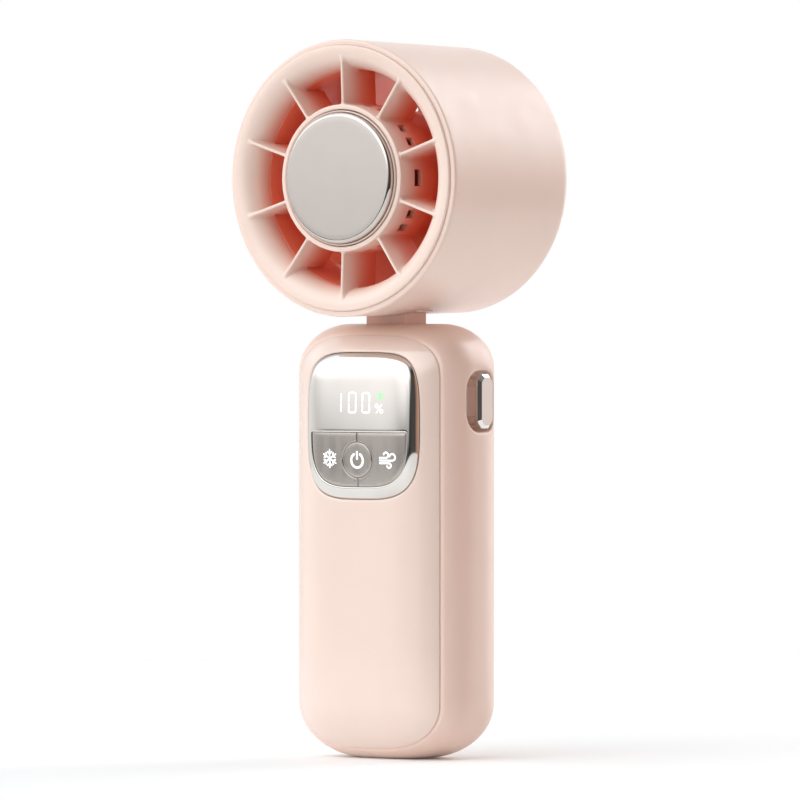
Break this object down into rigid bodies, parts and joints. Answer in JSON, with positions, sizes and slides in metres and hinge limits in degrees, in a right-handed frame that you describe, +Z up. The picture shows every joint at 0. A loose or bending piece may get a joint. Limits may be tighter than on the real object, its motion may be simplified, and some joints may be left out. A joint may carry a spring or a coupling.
{
  "type": "handheld cooling fan",
  "caption": "Pocket turbo fan with a rounded handle, tilting drum head, radial-vane outlet round a cold-compress disc, mirror control panel with push buttons and a side lanyard bar.",
  "frame": {"origin": "on the ground under the middle of the whole object's box, with the handle standing on its flat base", "axes": "+Z up along the handle, -Y is the front where air leaves and the panel faces, +X is the side with the lanyard bar"},
  "size_m": [0.0666, 0.0508, 0.1733],
  "materials": {
    "satin_pink": "satin moulded plastic",
    "gloss_pink": "high gloss",
    "grille_pink": "fine satin",
    "mirror": "mirror-plated",
    "button_metal": "polished",
    "chrome": "polished",
    "satin_metal": "fine satin with a polished edge",
    "aluminium": "as extruded",
    "steel": "plated",
    "dark_steel": "blackened",
    "copper": "wound copper",
    "ceramic": "matt ceramic",
    "board_green": "solder mask",
    "black_plastic": "satin",
    "white_plastic": "satin",
    "cell_wrap": null
  },
  "bodies": {
    "handle": {"rear_shell": "satin_pink", "neck_post": "satin_pink", "front_panel": "gloss_pink", "control_panel": "mirror", "lanyard_bar": "chrome", "hinge_pin": "steel", "neck_screw_1": "steel", "neck_screw_2": "steel", "frame_screw_1": "steel", "frame_screw_2": "steel", "frame_screw_3": "steel", "frame_screw_4": "steel", "usb_socket": "steel", "friction_washer_left": "dark_steel", "friction_washer_right": "dark_steel", "main_board": "board_green", "charge_board": "board_green", "display_module": "black_plastic", "cool_switch": "black_plastic", "power_switch": "black_plastic", "wind_switch": "black_plastic", "inner_frame": "white_plastic", "battery_cell_left": "cell_wrap", "battery_cell_right": "cell_wrap"},
    "head": {"head_shell": "satin_pink", "front_grille": "grille_pink", "plate_collar": "gloss_pink", "cold_plate": "satin_metal", "peltier_module": "ceramic", "heat_sink": "aluminium", "duct_liner": "grille_pink", "motor_stator": "copper", "motor_screw_1": "steel", "motor_screw_2": "steel", "motor_screw_3": "steel", "rear_grille": "satin_pink", "grille_screw_1": "steel", "grille_screw_2": "steel", "grille_screw_3": "steel"},
    "impeller": {"impeller": "grille_pink", "rotor_can": "dark_steel", "motor_shaft": "steel"},
    "cool_button": {"cool_button": "button_metal"},
    "power_button": {"power_button": "button_metal"},
    "wind_button": {"wind_button": "button_metal"}
  },
  "joints": [
    {"name": "head_tilt", "type": "hinge", "parent": "handle", "child": "head", "pos_m": [0, -0.0011, 0.11035], "axis": [1, 0, 0], "range_deg": [-12, 12]},
    {"name": "impeller_spin", "type": "hinge", "parent": "head", "child": "impeller", "pos_m": [0, 0, 0.14], "axis": [0, 1, 0], "continuous": true},
    {"name": "cool_press", "type": "slide", "parent": "handle", "child": "cool_button", "axis": [0, 1, 0], "range_m": [0, 0.0005], "stiffness_N_per_m": 300},
    {"name": "power_press", "type": "slide", "parent": "handle", "child": "power_button", "axis": [0, 1, 0], "range_m": [0, 0.0005], "stiffness_N_per_m": 300},
    {"name": "wind_press", "type": "slide", "parent": "handle", "child": "wind_button", "axis": [0, 1, 0], "range_m": [0, 0.0005], "stiffness_N_per_m": 300}
  ]
}
